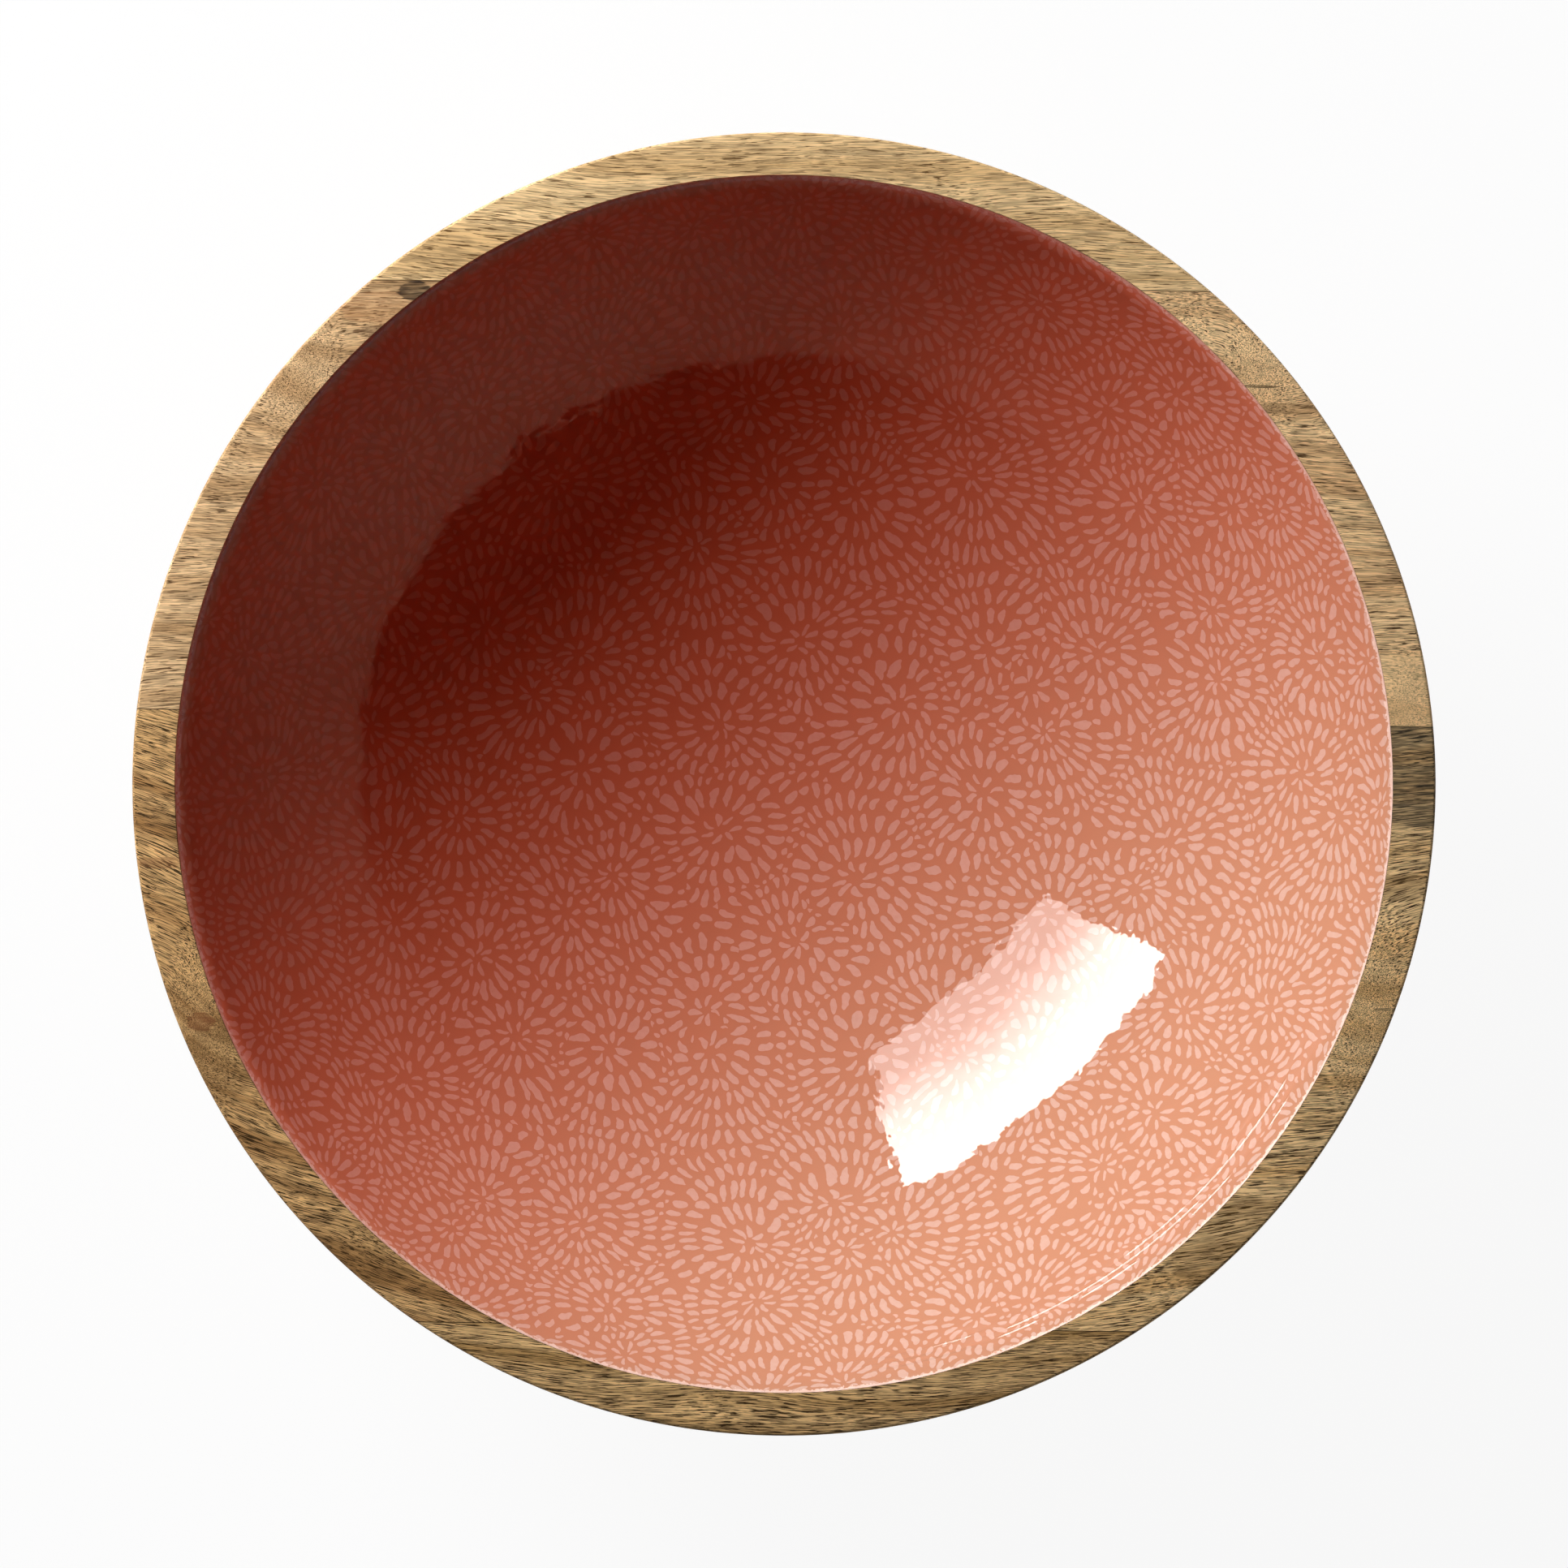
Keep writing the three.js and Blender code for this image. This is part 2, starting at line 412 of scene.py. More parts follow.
stained = blend(stain, mark_share, stain_in.outputs["Color"], stain_in.outputs["Stain"])
feed(stain, stain_out.inputs["Color"], stained)


def mango_wood(name, low_joints, high_joints, log, pale, brown, pore, bands, pores, slant=0.0,
               dive=(0, 0, 1), slope=0.0, second_dive=(0, 0, 1), second_slope=0.0, stains=()):
    """One board's finish, with its own place in the log, its own tones and its own stains."""
    material = bpy.data.materials.new(name)
    material.use_nodes = True
    tree = material.node_tree
    shader = tree.nodes["Principled BSDF"]
    values = {"Log": log, "Pale": paint(pale), "Brown": paint(brown), "Pore": paint(pore), "Bands": bands,
              "Pores": pores, "Slant": slant, "Dive": dive, "Dive slope": slope,
              "Second dive": second_dive, "Second slope": second_slope,
              "Low joints": low_joints, "High joints": high_joints}
    wood = place(tree, "ShaderNodeGroup", values, node_tree=grain)
    tone = wood.outputs["Color"]
    for colour, strength, centre, half_size in stains:
        values = {"Color": tone, "Stain": paint(colour), "Strength": strength, "Centre": (*centre, 0),
                  "Half size": (*half_size, 1), "Ragged": STAIN_RAGGED}
        tone = place(tree, "ShaderNodeGroup", values, node_tree=stain).outputs["Color"]
    values = {"Strength": RELIEF_STRENGTH, "Distance": PORE_DEPTH, "Height": wood.outputs["Height"]}
    relief = place(tree, "ShaderNodeBump", values)
    shader.inputs["Specular IOR Level"].default_value = OILED_SHEEN
    feed(tree, shader.inputs["Base Color"], tone)
    feed(tree, shader.inputs["Roughness"], wood.outputs["Roughness"])
    feed(tree, shader.inputs["Normal"], relief.outputs["Normal"])
    return material


# Boards
# Fifteen boards of mango wood, glued in three layers. In the two upper layers the hollow leaves crescents
# at the front and back, and parts each middle board into a left and a right piece. The glue lines show as
# thin dark lines.
BOARD_SEED = 11
LOG_REACH = 900
NO_JOINT = 1000.0
GLUE_LINE = 0.15 * MM


def tones(pale, brown, pore, bands, pores):
    """The colours of a board, and how much of its bands and pores show."""
    return {"pale": pale, "brown": brown, "pore": pore, "bands": bands, "pores": pores}


BOARD_TONES = {
    "rim_back_board": tones("e1c08f", "be9967", "5c4122", bands=0.7, pores=0.6),
    "rim_left_back_board": tones("dbb78a", "b18b60", "4d341c", bands=0.8, pores=0.7),
    "rim_right_back_board": tones("f2cd9a", "d6a876", "3f2812", bands=0.8, pores=0.68),
    "rim_left_front_board": tones("d9ae76", "9c7244", "241607", bands=0.9, pores=0.9),
    "rim_right_front_board": tones("f3ce97", "daac70", "2a1a0b", bands=0.8, pores=0.84),
    "rim_front_board": tones("e2ba82", "ad854e", "2b1b0c", bands=0.8, pores=0.95),
}

# Knots and stains, in millimetres from the bowl's axis. A dive has a centre and a reach, and a stain has
# a colour, a strength, a centre and half its length and width.
BOARD_MARKS = {
    "rim_left_back_board": {
        "dive": (-112, 92, 16), "slope": 0.8,
        "stains": [("a5744a", 0.5, (-93, 108), (11, 4)), ("241810", 1.0, (-86.6, 112.2), (3.6, 2.4)),
                   ("5e4128", 0.8, (-95.2, 102.6), (5, 1.5))],
    },
    "rim_right_back_board": {
        "dive": (108, 99, 14), "slope": 1.0, "second_dive": (143, 20, 9), "second_slope": 0.8,
        "stains": [("4a3119", 0.8, (107.5, 93), (5, 0.4)), ("5b4124", 0.5, (115, 88), (8, 1.3)),
                   ("f6cf97", 0.5, (144, 23), (14, 9))],
    },
    "rim_left_front_board": {
        "slant": 0.35, "dive": (-133, -55, 17), "slope": 1.2,
        "stains": [("7b4a2c", 0.75, (-133.5, -56.6), (3.2, 2.2)), ("5f4426", 0.25, (-95, -109), (15, 8)),
                   ("644828", 0.4, (-130, -66), (9, 9)), ("59402a", 0.2, (-146, -8), (14, 6)),
                   ("8f5f3c", 0.5, (-145, -20), (12, 1.2))],
    },
    "rim_right_front_board": {
        "slant": -0.15, "dive": (136, -50, 18), "slope": 1.0,
        "stains": [("35322a", 0.8, (146, 4.4), (60, 12.6)), ("6b5232", 0.45, (143, -22), (12, 3)),
                   ("3c2813", 0.8, (140.8, -50), (5, 0.4)), ("6f4f24", 0.4, (106, -106), (16, 13))],
    },
}
draws = random.Random(BOARD_SEED)


def saw(body, point, normal):
    """Cuts off what lies beyond a plane, and closes the cut."""
    everything = [*body.verts, *body.edges, *body.faces]
    made = bmesh.ops.bisect_plane(body, geom=everything, plane_co=point, plane_no=normal,
                                  clear_outer=True)
    edges = [part for part in made["geom_cut"] if isinstance(part, bmesh.types.BMEdge)]
    bmesh.ops.triangle_fill(body, edges=edges, use_beauty=True, normal=normal)


def board(node, joints):
    """One board: the turned wood between its glue lines, on its own side of the hollow."""
    half_glue = Vector((0, GLUE_LINE / 2, GLUE_LINE / 2))
    low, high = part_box(node)
    low = low - half_glue
    high = high + half_glue
    body = turned_wood.copy()
    planes = {"front": (low, (0, -1, 0)), "back": (high, (0, 1, 0)), "under": (low, (0, 0, -1)),
              "over": (high, (0, 0, 1))}
    for joint in joints:
        saw(body, *planes[joint])
    side = {"left": 1, "right": -1}.get(node.split("_")[1], 0)
    other_side = [vertex for vertex in body.verts if vertex.co.x * side > 0]
    bmesh.ops.delete(body, geom=other_side, context="VERTS")
    front = low.y / MM if "front" in joints else -NO_JOINT
    under = low.z / MM if "under" in joints else -NO_JOINT
    back = high.y / MM if "back" in joints else NO_JOINT
    over = high.z / MM if "over" in joints else NO_JOINT
    log = [draws.uniform(-LOG_REACH, LOG_REACH) for _ in range(3)]
    own_tones = BOARD_TONES.get(node) or draws.choice(list(BOARD_TONES.values()))
    own_marks = BOARD_MARKS.get(node, {})
    wood = mango_wood(node, (0, front, under), (0, back, over), log, **own_tones, **own_marks)
    finish_piece(node, body, wood)


for layer, heights in (("rim", ["under"]), ("wall", ["under", "over"])):
    board(f"{layer}_back_board", [*heights, "front"])
    board(f"{layer}_front_board", [*heights, "back"])
    for side in ("left", "right"):
        board(f"{layer}_{side}_back_board", [*heights, "front", "back"])
        board(f"{layer}_{side}_front_board", [*heights, "front", "back"])
board("base_back_board", ["over", "front"])
board("base_centre_board", ["over", "front", "back"])
board("base_front_board", ["over", "back"])
turned_wood.free()

# Enamel lining
# Coral enamel brushed into the hollow, printed with paler petals, clear coated and sanded flush with
# the rim. Its colour goes from deep red at the back left to paler at the front right, which is painted
# shade where the lamp leaves the hollow in shade and painted light where it lights it. The gloss ripples
# a little, and the last turns of the brush left fine rings near the rim.
LINING_THICKNESS = 0.9 * MM
EDGE_DROP = 1.6 * MM
SANDED_DROP = 0.45 * MM
lining_face = lining_back - LINING_THICKNESS
lining_middle = lining_back - LINING_THICKNESS / 2

# Rosettes of petals in rings about scattered centres, in millimetres
ROSETTE_CELL = 31.0
ROSETTE_GAP = 0.12
RING = 5.4
RING_SPREAD = 1.2
PETAL_PITCH = 3.0
PETAL_HALF_WIDTH = 0.96
PETAL_SHIFT = 0.7
PETAL_ASIDE = 0.4
PETAL_BOW = 0.9
PETAL_SKEW = 0.9
PRINT_EDGE = 0.06
SLOW_WOBBLE = (22.0, 9.0)
QUICK_WOBBLE = (2.2, 1.1)

# Shape of a petal, in shares of its own size and of its ring
PETAL_SHARE = 0.83
SHORTEST_PETAL = 0.24
SMALLEST_PETAL = 0.84
PETAL_GROWTH = 0.26
PETAL_ROUNDNESS = 2.5
MIDDLE_WIDTH = 0.92
LEAST_LEAN = -0.02
MORE_LEAN = 0.36
SHORT_PETAL_WIDTH = 0.6
FIRST_RING_CROWD = 0.15
FIRST_RING_SHRINK = -0.3
FIRST_RING_OUT = 0.06

# Steps and seeds of the layout
TURN = 2 * math.pi
ROOM_STEPS = 3
SAME_ROSETTE = 0.0001
RING_SEED = 91.0
RING_SEED_LAYER = 3.0
PETAL_SEED = 57.0

petals, petals_in, petals_out = open_group(
    "petal_rosettes",
    {"Place": "Vector", "Cell": "Float"},
    {"Petal": "Float"},
)


def rosettes_at(vector, feature):
    """The cells of the rosettes, one round each centre."""
    values = {"Vector": vector, "Scale": 1.0, "Randomness": 1.0}
    return place(petals, "ShaderNodeTexVoronoi", values, voronoi_dimensions="2D", feature=feature)


def room_at(vector):
    """How far a point is from the border of its rosette, in cells."""
    return Signal(petals, rosettes_at(vector, "DISTANCE_TO_EDGE").outputs["Distance"])


def wobble(reach, amount, seed):
    """Pushes the print aside by noise, as a hand-cut stencil would."""
    return (noise_at(petals, drawn_x / reach, drawn_y / reach, seed) - 0.5) * amount


cell_size = petals_in.outputs["Cell"]
drawn_x, drawn_y, _ = parts_of(petals, petals_in.outputs["Place"])
cell_x = (drawn_x + wobble(*SLOW_WOBBLE, seed=1.0) + wobble(*QUICK_WOBBLE, seed=2.0)) / cell_size
cell_y = (drawn_y + wobble(*SLOW_WOBBLE, seed=3.0) + wobble(*QUICK_WOBBLE, seed=4.0)) / cell_size
cell_spot = vector_of(petals, cell_x, cell_y)
rosettes = rosettes_at(cell_spot, "F1")
chance, tint, _ = parts_of(petals, rosettes.outputs["Color"])
centre_x, centre_y, _ = parts_of(petals, rosettes.outputs["Position"])
away_x = (cell_x - centre_x) * cell_size
away_y = (cell_y - centre_y) * cell_size
ring_width = chance * RING_SPREAD + (RING - RING_SPREAD / 2)
distance = (away_x * away_x + away_y * away_y).math("SQRT")
ring = (distance / ring_width).math("FLOOR")
first = ring.math("LESS_THAN", 0.5)
count = ((ring + first * FIRST_RING_CROWD + 0.5) * ring_width * (TURN / PETAL_PITCH)).math("ROUND")
ring_seed = vector_of(petals, ring, tint * RING_SEED, RING_SEED_LAYER)
ring_draw = place(petals, "ShaderNodeTexWhiteNoise", {"Vector": ring_seed}).outputs["Value"]
turned = (away_y.math("ARCTAN2", away_x) / TURN + ring_draw + 1.0) * count
step = turned.math("FLOOR")
number = step.math("FLOORED_MODULO", count)
aside = (turned.math("FRACT") - 0.5) * distance * TURN / count
petal_seed = vector_of(petals, ring, tint * PETAL_SEED, number)
petal_draw = place(petals, "ShaderNodeTexWhiteNoise", {"Vector": petal_seed}).outputs["Color"]
draw_size, draw_along, draw_bend = parts_of(petals, petal_draw)

middle_turn = ((step + 0.5) / count - ring_draw - 1.0) * TURN
ray_x = middle_turn.math("COSINE")
ray_y = middle_turn.math("SINE")


def on_ray(reach):
    """The point at a reach from the rosette's centre along the middle of the petal, in cells."""
    return vector_of(petals, ray_x * reach + centre_x, ray_y * reach + centre_y)


ring_start = ring * ring_width / cell_size
_, start_tint, _ = parts_of(petals, rosettes_at(on_ray(ring_start), "F1").outputs["Color"])
own = (start_tint - tint).math("ABSOLUTE").math("LESS_THAN", SAME_ROSETTE)
reach = ring_start
for _ in range(ROOM_STEPS):
    reach = reach + room_at(on_ray(reach))
room = ((reach - ring_start) * cell_size - ROSETTE_GAP / 2).math("MINIMUM", ring_width)
long_enough = room.math("GREATER_THAN", ring_width * SHORTEST_PETAL)

scale = (draw_size * PETAL_GROWTH + SMALLEST_PETAL) * (first * FIRST_RING_SHRINK + 1.0)
middle = ring * ring_width + room * (first * FIRST_RING_OUT + 0.5)
off_middle = distance - middle + (draw_along - 0.5) * PETAL_SHIFT
along = off_middle / (room * scale * (PETAL_SHARE / 2))
lean = along * (draw_bend * MORE_LEAN + LEAST_LEAN) + MIDDLE_WIDTH
rounding = along.math("ABSOLUTE").math("POWER", PETAL_ROUNDNESS) * -1.0 + 1.0
rounding = rounding.math("MAXIMUM", 0.0).math("SQRT")
fullness = (room / ring_width) * (1 - SHORT_PETAL_WIDTH) + SHORT_PETAL_WIDTH
half_width = rounding * lean * scale * fullness * PETAL_HALF_WIDTH
bow = (along * along * -1.0 + 1.0) * (draw_size - 0.5) * PETAL_BOW
skew = along * (draw_along - 0.5) * PETAL_SKEW
edge = (aside + (bow + skew) + (draw_bend - 0.5) * PETAL_ASIDE).math("ABSOLUTE") - half_width
inside = along.math("ABSOLUTE").math("LESS_THAN", 1.0)
to_border = room_at(cell_spot) * cell_size
clear = to_border.ramp(ROSETTE_GAP - PRINT_EDGE, ROSETTE_GAP + PRINT_EDGE)
petal = edge.ramp(PRINT_EDGE, -PRINT_EDGE) * inside * own * long_enough * clear
feed(petals, petals_out.inputs["Petal"], petal)

# Colours of the ground and the petals, deep red as painted shade at the back left and pale as painted
# light at the front right, and where across the bowl they change, in millimetres
GROUND_IN_PAINTED_SHADE = paint("ce5438")
GROUND_IN_PAINTED_LIGHT = paint("c58b6d")
PETAL_IN_PAINTED_SHADE = paint("db7462")
PETAL_IN_PAINTED_LIGHT = paint("d6ae9d")
PAINTED_LIGHT_SIDE = math.radians(-48)
PAINTED_SHADE_END = -80.0
PAINTED_LIGHT_END = 125.0

# Thin places in the ink of the petals
INK_GRAIN = 1.3
INK_EDGES = (0.2, 0.7)
INK_COVER = (0.82, 1.0)

# Sanded edge at the rim, which shows more strongly towards the front right as painted light
SANDED = paint("f2d2c4")
SANDED_GRAIN = 0.9
SANDED_RAGGED = 1.5
SANDED_EDGE = 0.1
SANDED_COVER = 0.2
MORE_COVER_IN_PAINTED_LIGHT = 0.5
SANDED_ROUGHNESS = 0.4

# Clear coat, and the width and height of its ripples in millimetres
COAT_IOR = 1.45
COAT_SHEEN = 0.36
COAT_ROUGHNESS = 0.004
RIPPLES = ((22.0, 0.24), (7.0, 0.045), (3.0, 0.025))
NEAR_AXIS = 0.001

enamel = bpy.data.materials.new("printed_enamel")
enamel.use_nodes = True
coat = enamel.node_tree
shader = coat.nodes["Principled BSDF"]
shader.inputs["IOR"].default_value = COAT_IOR
shader.inputs["Specular IOR Level"].default_value = COAT_SHEEN
x, y, z = parts_of(coat, surface_place(coat))


def speckle(size, detail=1.0):
    """Noise over the lining, in spots of a size."""
    return noise_at(coat, x / size, y / size, z / size, detail)


from_axis = ((x * x + y * y).math("SQRT") / (lining_face / MM)).math("MAXIMUM", NEAR_AXIS)
stretch = from_axis.math("ARCSINE") / from_axis
print_place = vector_of(coat, x * stretch, y * stretch)
values = {"Place": print_place, "Cell": ROSETTE_CELL}
rosette = place(coat, "ShaderNodeGroup", values, node_tree=petals)
ink = speckle(INK_GRAIN, detail=2.0)
printed = Signal(coat, rosette.outputs["Petal"]) * ink.ramp(*INK_EDGES, *INK_COVER)
# The colour changes across the bowl from painted shade at the back left to painted light at the front
# right.
toward_painted_light = x * math.cos(PAINTED_LIGHT_SIDE) + y * math.sin(PAINTED_LIGHT_SIDE)
painted_light_share = toward_painted_light.ramp(PAINTED_SHADE_END, PAINTED_LIGHT_END)
ground_with_painted_shading = blend(coat, painted_light_share, GROUND_IN_PAINTED_SHADE, GROUND_IN_PAINTED_LIGHT)
petal_ink_with_painted_shading = blend(coat, painted_light_share, PETAL_IN_PAINTED_SHADE, PETAL_IN_PAINTED_LIGHT)
coat_colour_with_painted_shading = blend(coat, printed, ground_with_painted_shading, petal_ink_with_painted_shading)
sanded_height = (bowl_height - SANDED_DROP) / MM
sanded = z + (speckle(SANDED_GRAIN, detail=2.0) - 0.5) * SANDED_RAGGED
sanded = sanded.ramp(sanded_height - SANDED_EDGE, sanded_height + SANDED_EDGE)
# The sanded edge is real wear, and its stronger cover towards the front right is painted light.
sanded_share_with_painted_light = sanded * (painted_light_share * MORE_COVER_IN_PAINTED_LIGHT + SANDED_COVER)
coat_colour_with_painted_shading = blend(coat, sanded_share_with_painted_light, coat_colour_with_painted_shading, SANDED)
feed(coat, shader.inputs["Base Color"], coat_colour_with_painted_shading)
feed(coat, shader.inputs["Roughness"], sanded * SANDED_ROUGHNESS + COAT_ROUGHNESS)
slow, medium, quick = [speckle(width) * height for width, height in RIPPLES]
values = {"Strength": 1.0, "Distance": 1.0 * MM, "Height": slow + medium + quick}
ripple = place(coat, "ShaderNodeBump", values)
feed(coat, shader.inputs["Normal"], ripple.outputs["Normal"])

# Rings that the brush left, by their distance below the edge of the face
RIDGES = (3.0 * MM, 5.2 * MM, 7.6 * MM)
RIDGE_HALF = 0.55 * MM
RIDGE_HEIGHT = 0.21 * MM
RIDGE_STEPS = 10
RIDGE_MIDDLE = math.radians(-55)
RIDGE_REACH = math.radians(30)
RIDGE_FADE = 4
BREAKS_ROUND = 14
BREAK_SEED = (7.3, 0.5)
BREAK_DEPTH = 3


def brushed(radius, height, angle):
    """Raises the rings that the last turns of the brush left on the front right of the face."""
    if math.hypot(radius, height - hollow_centre) > lining_middle:
        return radius, height
    below = lining_face * (face_edge - math.atan2(height - hollow_centre, radius))
    swing = abs(math.remainder(angle - RIDGE_MIDDLE, 2 * math.pi) / RIDGE_REACH)
    rise = 0
    for number, middle in enumerate(RIDGES):
        off = (below - middle) / RIDGE_HALF
        if abs(off) < 1 and swing < 1:
            spot = (angle * BREAKS_ROUND, number * BREAK_SEED[0], BREAK_SEED[1])
            broken = noise.noise(spot) * BREAK_DEPTH + 1.0
            faded = RIDGE_FADE - RIDGE_FADE * swing
            rise += math.cos(off * math.pi / 2) ** 2 * max(0, min(1, broken, faded))
    share = RIDGE_HEIGHT * rise / lining_face
    return radius * (1 - share), height + (hollow_centre - height) * share


face_edge = hollow_angle(lining_face, bowl_height - EDGE_DROP)
back_edge = hollow_angle(lining_back, bowl_height)
ridge_angles = [face_edge - (middle + RIDGE_HALF * (2 * step / RIDGE_STEPS - 1)) / lining_face
                for middle in RIDGES for step in range(RIDGE_STEPS + 1)]
below_ridges = ridge_angles[-1]
face_outline = [(lining_face * math.cos(a), hollow_centre + lining_face * math.sin(a))
                for a in [face_edge, *ridge_angles[:-1]]]
face_outline += arc(0, hollow_centre, lining_face, below_ridges, down, WALL_STEPS)
back_outline = arc(0, hollow_centre, lining_back, down, back_edge, WALL_STEPS)
lining_body = turn([*back_outline, *face_outline], shape=brushed)
lining = finish_piece("enamel_lining", lining_body, enamel)

# Flat map of the lining: the face in a large round, and the hidden back in a small one in the corner
FACE_MAP = 0.5
BACK_MAP = 0.08
MAP_MARGIN = 0.01
widest = back_edge - down
flat_map = lining.data.uv_layers.new(name="OFBake")
for face in lining.data.polygons:
    corners = [lining.data.vertices[index].co - Vector((0, 0, hollow_centre)) for index in face.vertices]
    hidden = min(corner.length for corner in corners) > lining_middle
    middle = BACK_MAP if hidden else FACE_MAP
    for loop, corner in zip(face.loop_indices, corners):
        out = corner.angle(Vector((0, 0, -1))) / widest * (middle - MAP_MARGIN)
        turn_to = math.atan2(corner.y, corner.x)
        flat_map.uv[loop].vector = (middle + out * math.cos(turn_to), middle + out * math.sin(turn_to))

# Floor
# A matt white studio sweep, flat under the bowl and curved up into a low wall well away from it. It shows
# as plain white, and keeps a trace of the bowl's shadow.
FLOOR_RADIUS = 3.5
SWEEP_RADIUS = 0.9
SWEEP_STEPS = 12
FLOOR_GAP = 0.2 * MM
FLOOR_COLOUR = (0.8, 0.8, 0.8, 1)
FLOOR_ROUGHNESS = 0.9
FLOOR_GLOW = 0.93
WHITE = (1, 1, 1, 1)

sweep = arc(FLOOR_RADIUS, SWEEP_RADIUS - FLOOR_GAP, SWEEP_RADIUS, down, 0, SWEEP_STEPS)
floor_body = turn([(0, -FLOOR_GAP), *sweep])
floor_mesh = bpy.data.meshes.new("floor")
floor_body.to_mesh(floor_mesh)
floor_body.free()
floor = bpy.data.objects.new("floor", floor_mesh)
bpy.context.scene.collection.objects.link(floor)
white = bpy.data.materials.new("white_sweep")
white.use_nodes = True
tree = white.node_tree
plain = tree.nodes["Principled BSDF"]
plain.inputs["Base Color"].default_value = FLOOR_COLOUR
plain.inputs["Roughness"].default_value = FLOOR_ROUGHNESS
glow = place(tree, "ShaderNodeEmission", {"Color": WHITE, "Strength": 1.0})
ray = place(tree, "ShaderNodeLightPath")
seen = Signal(tree, ray.outputs["Is Camera Ray"]).math("MAXIMUM", ray.outputs["Is Glossy Ray"])
seen = seen.math("MAXIMUM", ray.outputs["Is Transmission Ray"]) * FLOOR_GLOW
mixed = place(tree, "ShaderNodeMixShader", {0: seen, 1: plain.outputs[0], 2: glow.outputs[0]})
feed(tree, tree.nodes["Material Output"].inputs["Surface"], mixed.outputs[0])
floor_mesh.materials.append(white)

# Light and camera
# A tall soft lamp at the back left lights the bowl, and an upright window panel in front of it shows only
# in the gloss. Three low fills stand round the other sides, and the camera looks straight down.
WINDOW_AZIMUTH = math.radians(132.3)
WINDOW_DISTANCE = 0.75
WINDOW_WIDTH = 0.70
WINDOW_HEIGHTS = (0.266, 0.78)
WINDOW_FADE = (0.15, 0.8)
GLOSS_BOTTOM = 32.0
GLOSS_TOP = 9.7
SKY_DISTANCE = 1.0
SKY_WIDTH = 0.65
SKY_HEIGHTS = (0.23, 1.01)
SKY_BOTTOM = 6.3
SKY_TOP = 28.2
FILLS = 3
FIRST_FILL = -135
FILL_STEP = 90
FILL_DISTANCE = 0.6
FILL_WIDTH = 0.8
FILL_HEIGHTS = (0.0, 0.09)
FILL_LIGHT = 2.2
WORLD_LIGHT = 0.002

world = bpy.data.worlds.new("studio")
bpy.context.scene.world = world
world.use_nodes = True
world.node_tree.nodes["Background"].inputs["Color"].default_value = WHITE
world.node_tree.nodes["Background"].inputs["Strength"].default_value = WORLD_LIGHT


def stand_up(thing, azimuth, distance, heights):
    """Sets a panel upright at a distance from the bowl's axis, facing it, out of the camera's sight."""
    out = Vector((math.cos(azimuth), math.sin(azimuth), 0))
    thing.location = out * distance + Vector((0, 0, sum(heights) / 2))
    thing.rotation_euler = (-out).to_track_quat("-Z", "Y").to_euler()
    thing.visible_camera = False
    bpy.context.scene.collection.objects.link(thing)


def graded(tree, up, bottom, top):
    """Gives a panel white light that changes in strength from its bottom edge to its top edge."""
    glow = tree.nodes.get("Emission") or place(tree, "ShaderNodeEmission")
    strengths = [(level, level, level, 1) for level in (bottom, top)]
    feed(tree, glow.inputs["Color"], blend(tree, up, *strengths))
    return glow


def lamp_panel(name, azimuth, distance, heights, width, bottom, top):
    """An upright lamp whose face has one strength at its bottom edge and another at its top edge."""
    lamp = bpy.data.lights.new(name, "AREA")
    lamp.shape = "RECTANGLE"
    lamp.size = width
    lamp.size_y = heights[1] - heights[0]
    lamp.energy = math.pi * lamp.size * lamp.size_y
    lamp.use_nodes = True
    tree = lamp.node_tree
    _, up, _ = parts_of(tree, place(tree, "ShaderNodeNewGeometry").outputs["Parametric"])
    graded(tree, up, bottom, top)
    stand = bpy.data.objects.new(name, lamp)
    stand_up(stand, azimuth, distance, heights)
    return stand


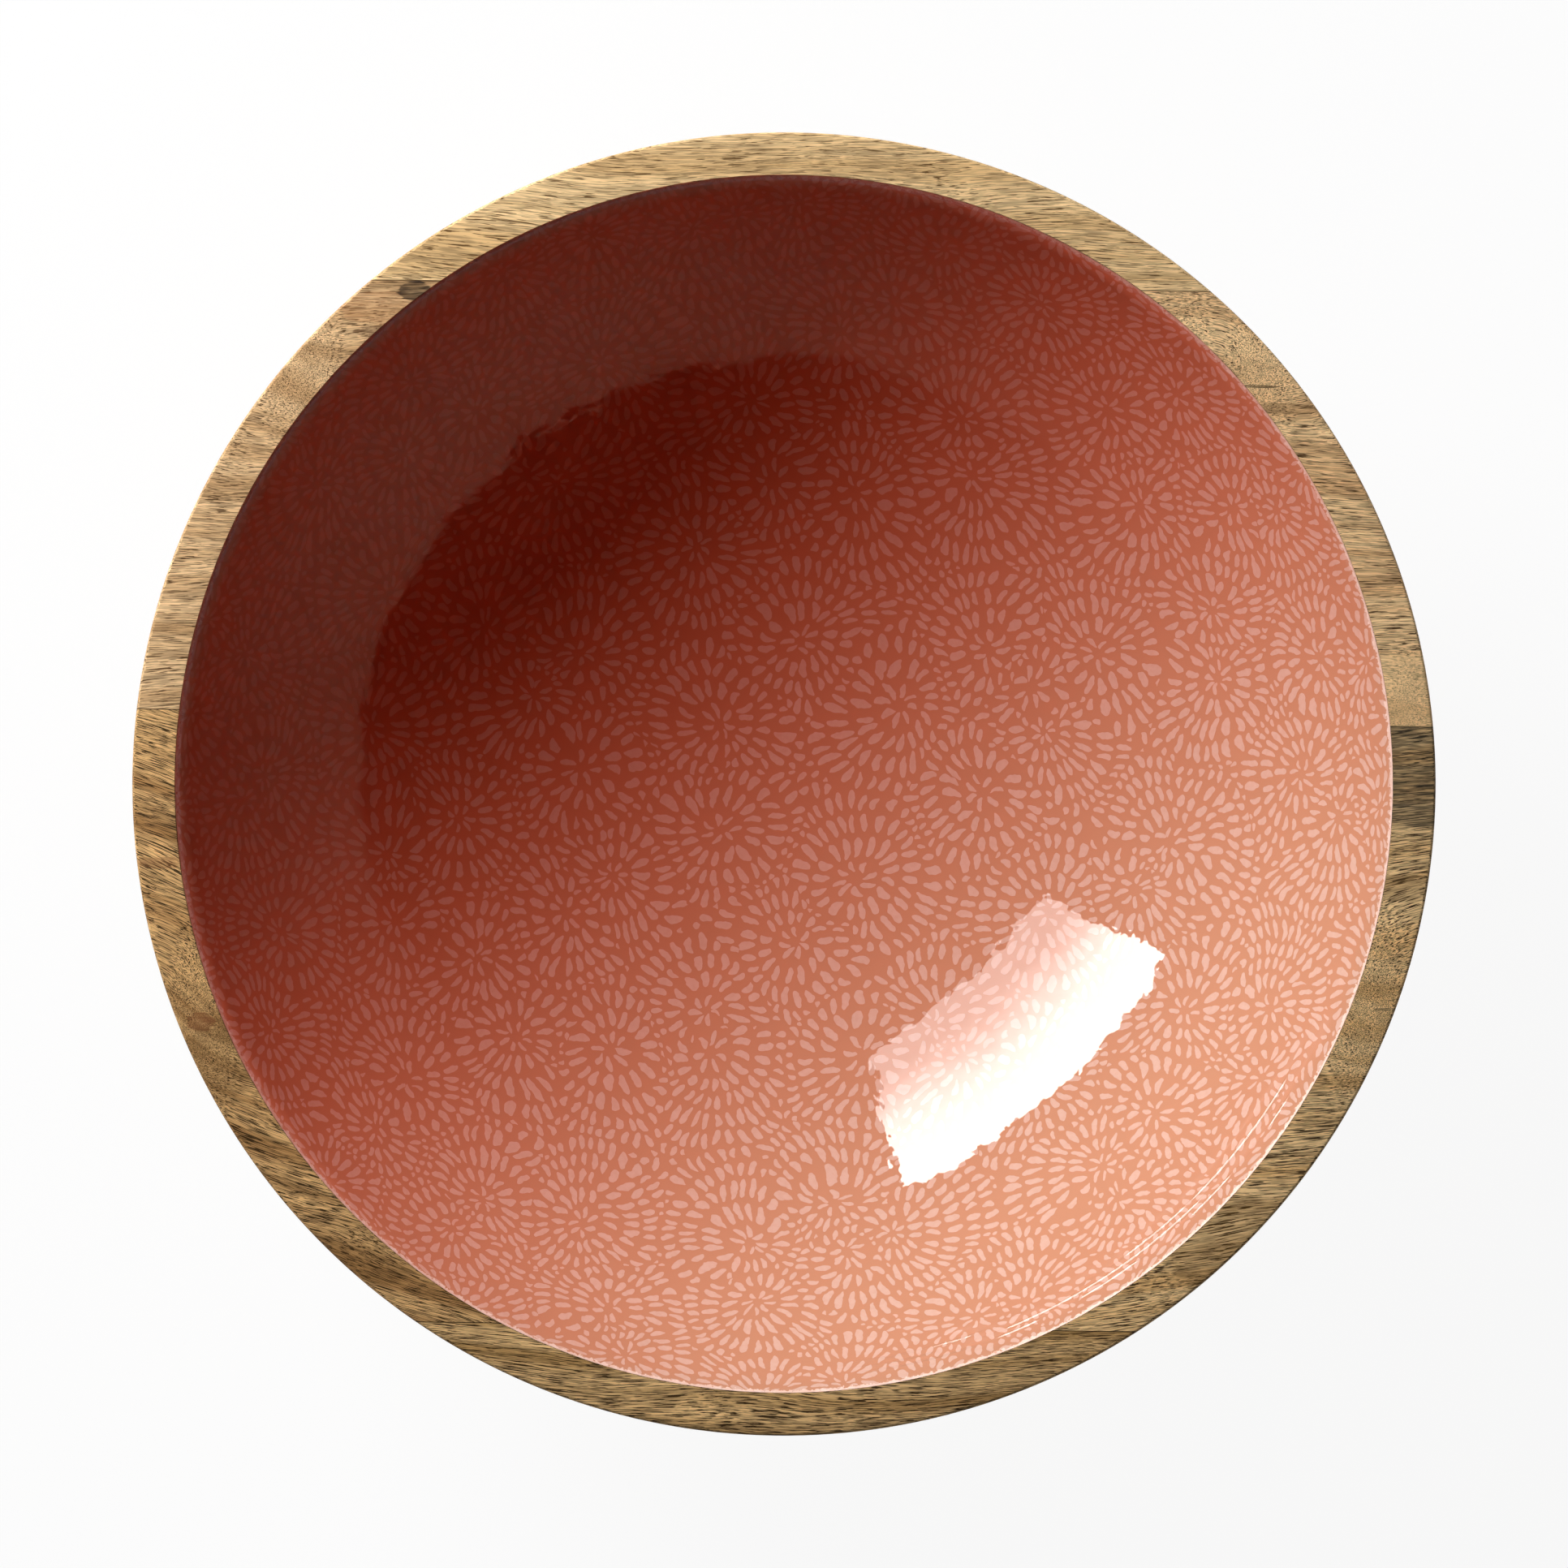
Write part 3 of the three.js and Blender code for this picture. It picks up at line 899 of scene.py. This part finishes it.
sky = lamp_panel("sky", WINDOW_AZIMUTH, SKY_DISTANCE, SKY_HEIGHTS, SKY_WIDTH, SKY_BOTTOM, SKY_TOP)
sky.visible_glossy = False
for number in range(FILLS):
    azimuth = math.radians(FILL_STEP * number + FIRST_FILL)
    lamp_panel(f"fill_{number}", azimuth, FILL_DISTANCE, FILL_HEIGHTS, FILL_WIDTH, FILL_LIGHT, FILL_LIGHT)

pane_right = WINDOW_WIDTH / 2
pane_top = (WINDOW_HEIGHTS[1] - WINDOW_HEIGHTS[0]) / 2
pane_corners = [(-pane_right, -pane_top, 0), (pane_right, -pane_top, 0), (pane_right, pane_top, 0),
                (-pane_right, pane_top, 0)]
pane = bpy.data.meshes.new("window")
pane.from_pydata(pane_corners, [], [(0, 1, 2, 3)])
pane_light = bpy.data.materials.new("window_light")
pane_light.use_nodes = True
tree = pane_light.node_tree
tree.nodes.remove(tree.nodes["Principled BSDF"])
_, pane_y, _ = parts_of(tree, place(tree, "ShaderNodeTexCoord").outputs["Object"])
up = pane_y / (2 * pane_top) + 0.5
glow = graded(tree, up.ramp(*WINDOW_FADE), GLOSS_BOTTOM, GLOSS_TOP)
feed(tree, tree.nodes["Material Output"].inputs["Surface"], glow.outputs[0])
pane_light.cycles.emission_sampling = "NONE"
pane.materials.append(pane_light)
window = bpy.data.objects.new("window", pane)
stand_up(window, WINDOW_AZIMUTH, WINDOW_DISTANCE, WINDOW_HEIGHTS)
window.visible_diffuse = False
window.visible_shadow = False

CAMERA_HEIGHT = 1.4
SENSOR_WIDTH = 36
FRAME_PIXELS = 1932
BOWL_PIXELS = 1607
ROLL = math.radians(0.8)
camera = bpy.data.cameras.new("camera")
camera.sensor_width = SENSOR_WIDTH
frame_width = 2 * rim_radius * FRAME_PIXELS / BOWL_PIXELS
camera.lens = camera.sensor_width * (CAMERA_HEIGHT - bowl_height) / frame_width
camera_stand = bpy.data.objects.new("camera", camera)
bpy.context.scene.collection.objects.link(camera_stand)
camera_stand.location = (0, 0, CAMERA_HEIGHT)
camera_stand.rotation_euler = (0, 0, ROLL)
bpy.context.scene.camera = camera_stand
bpy.context.scene.view_settings.view_transform = "Standard"
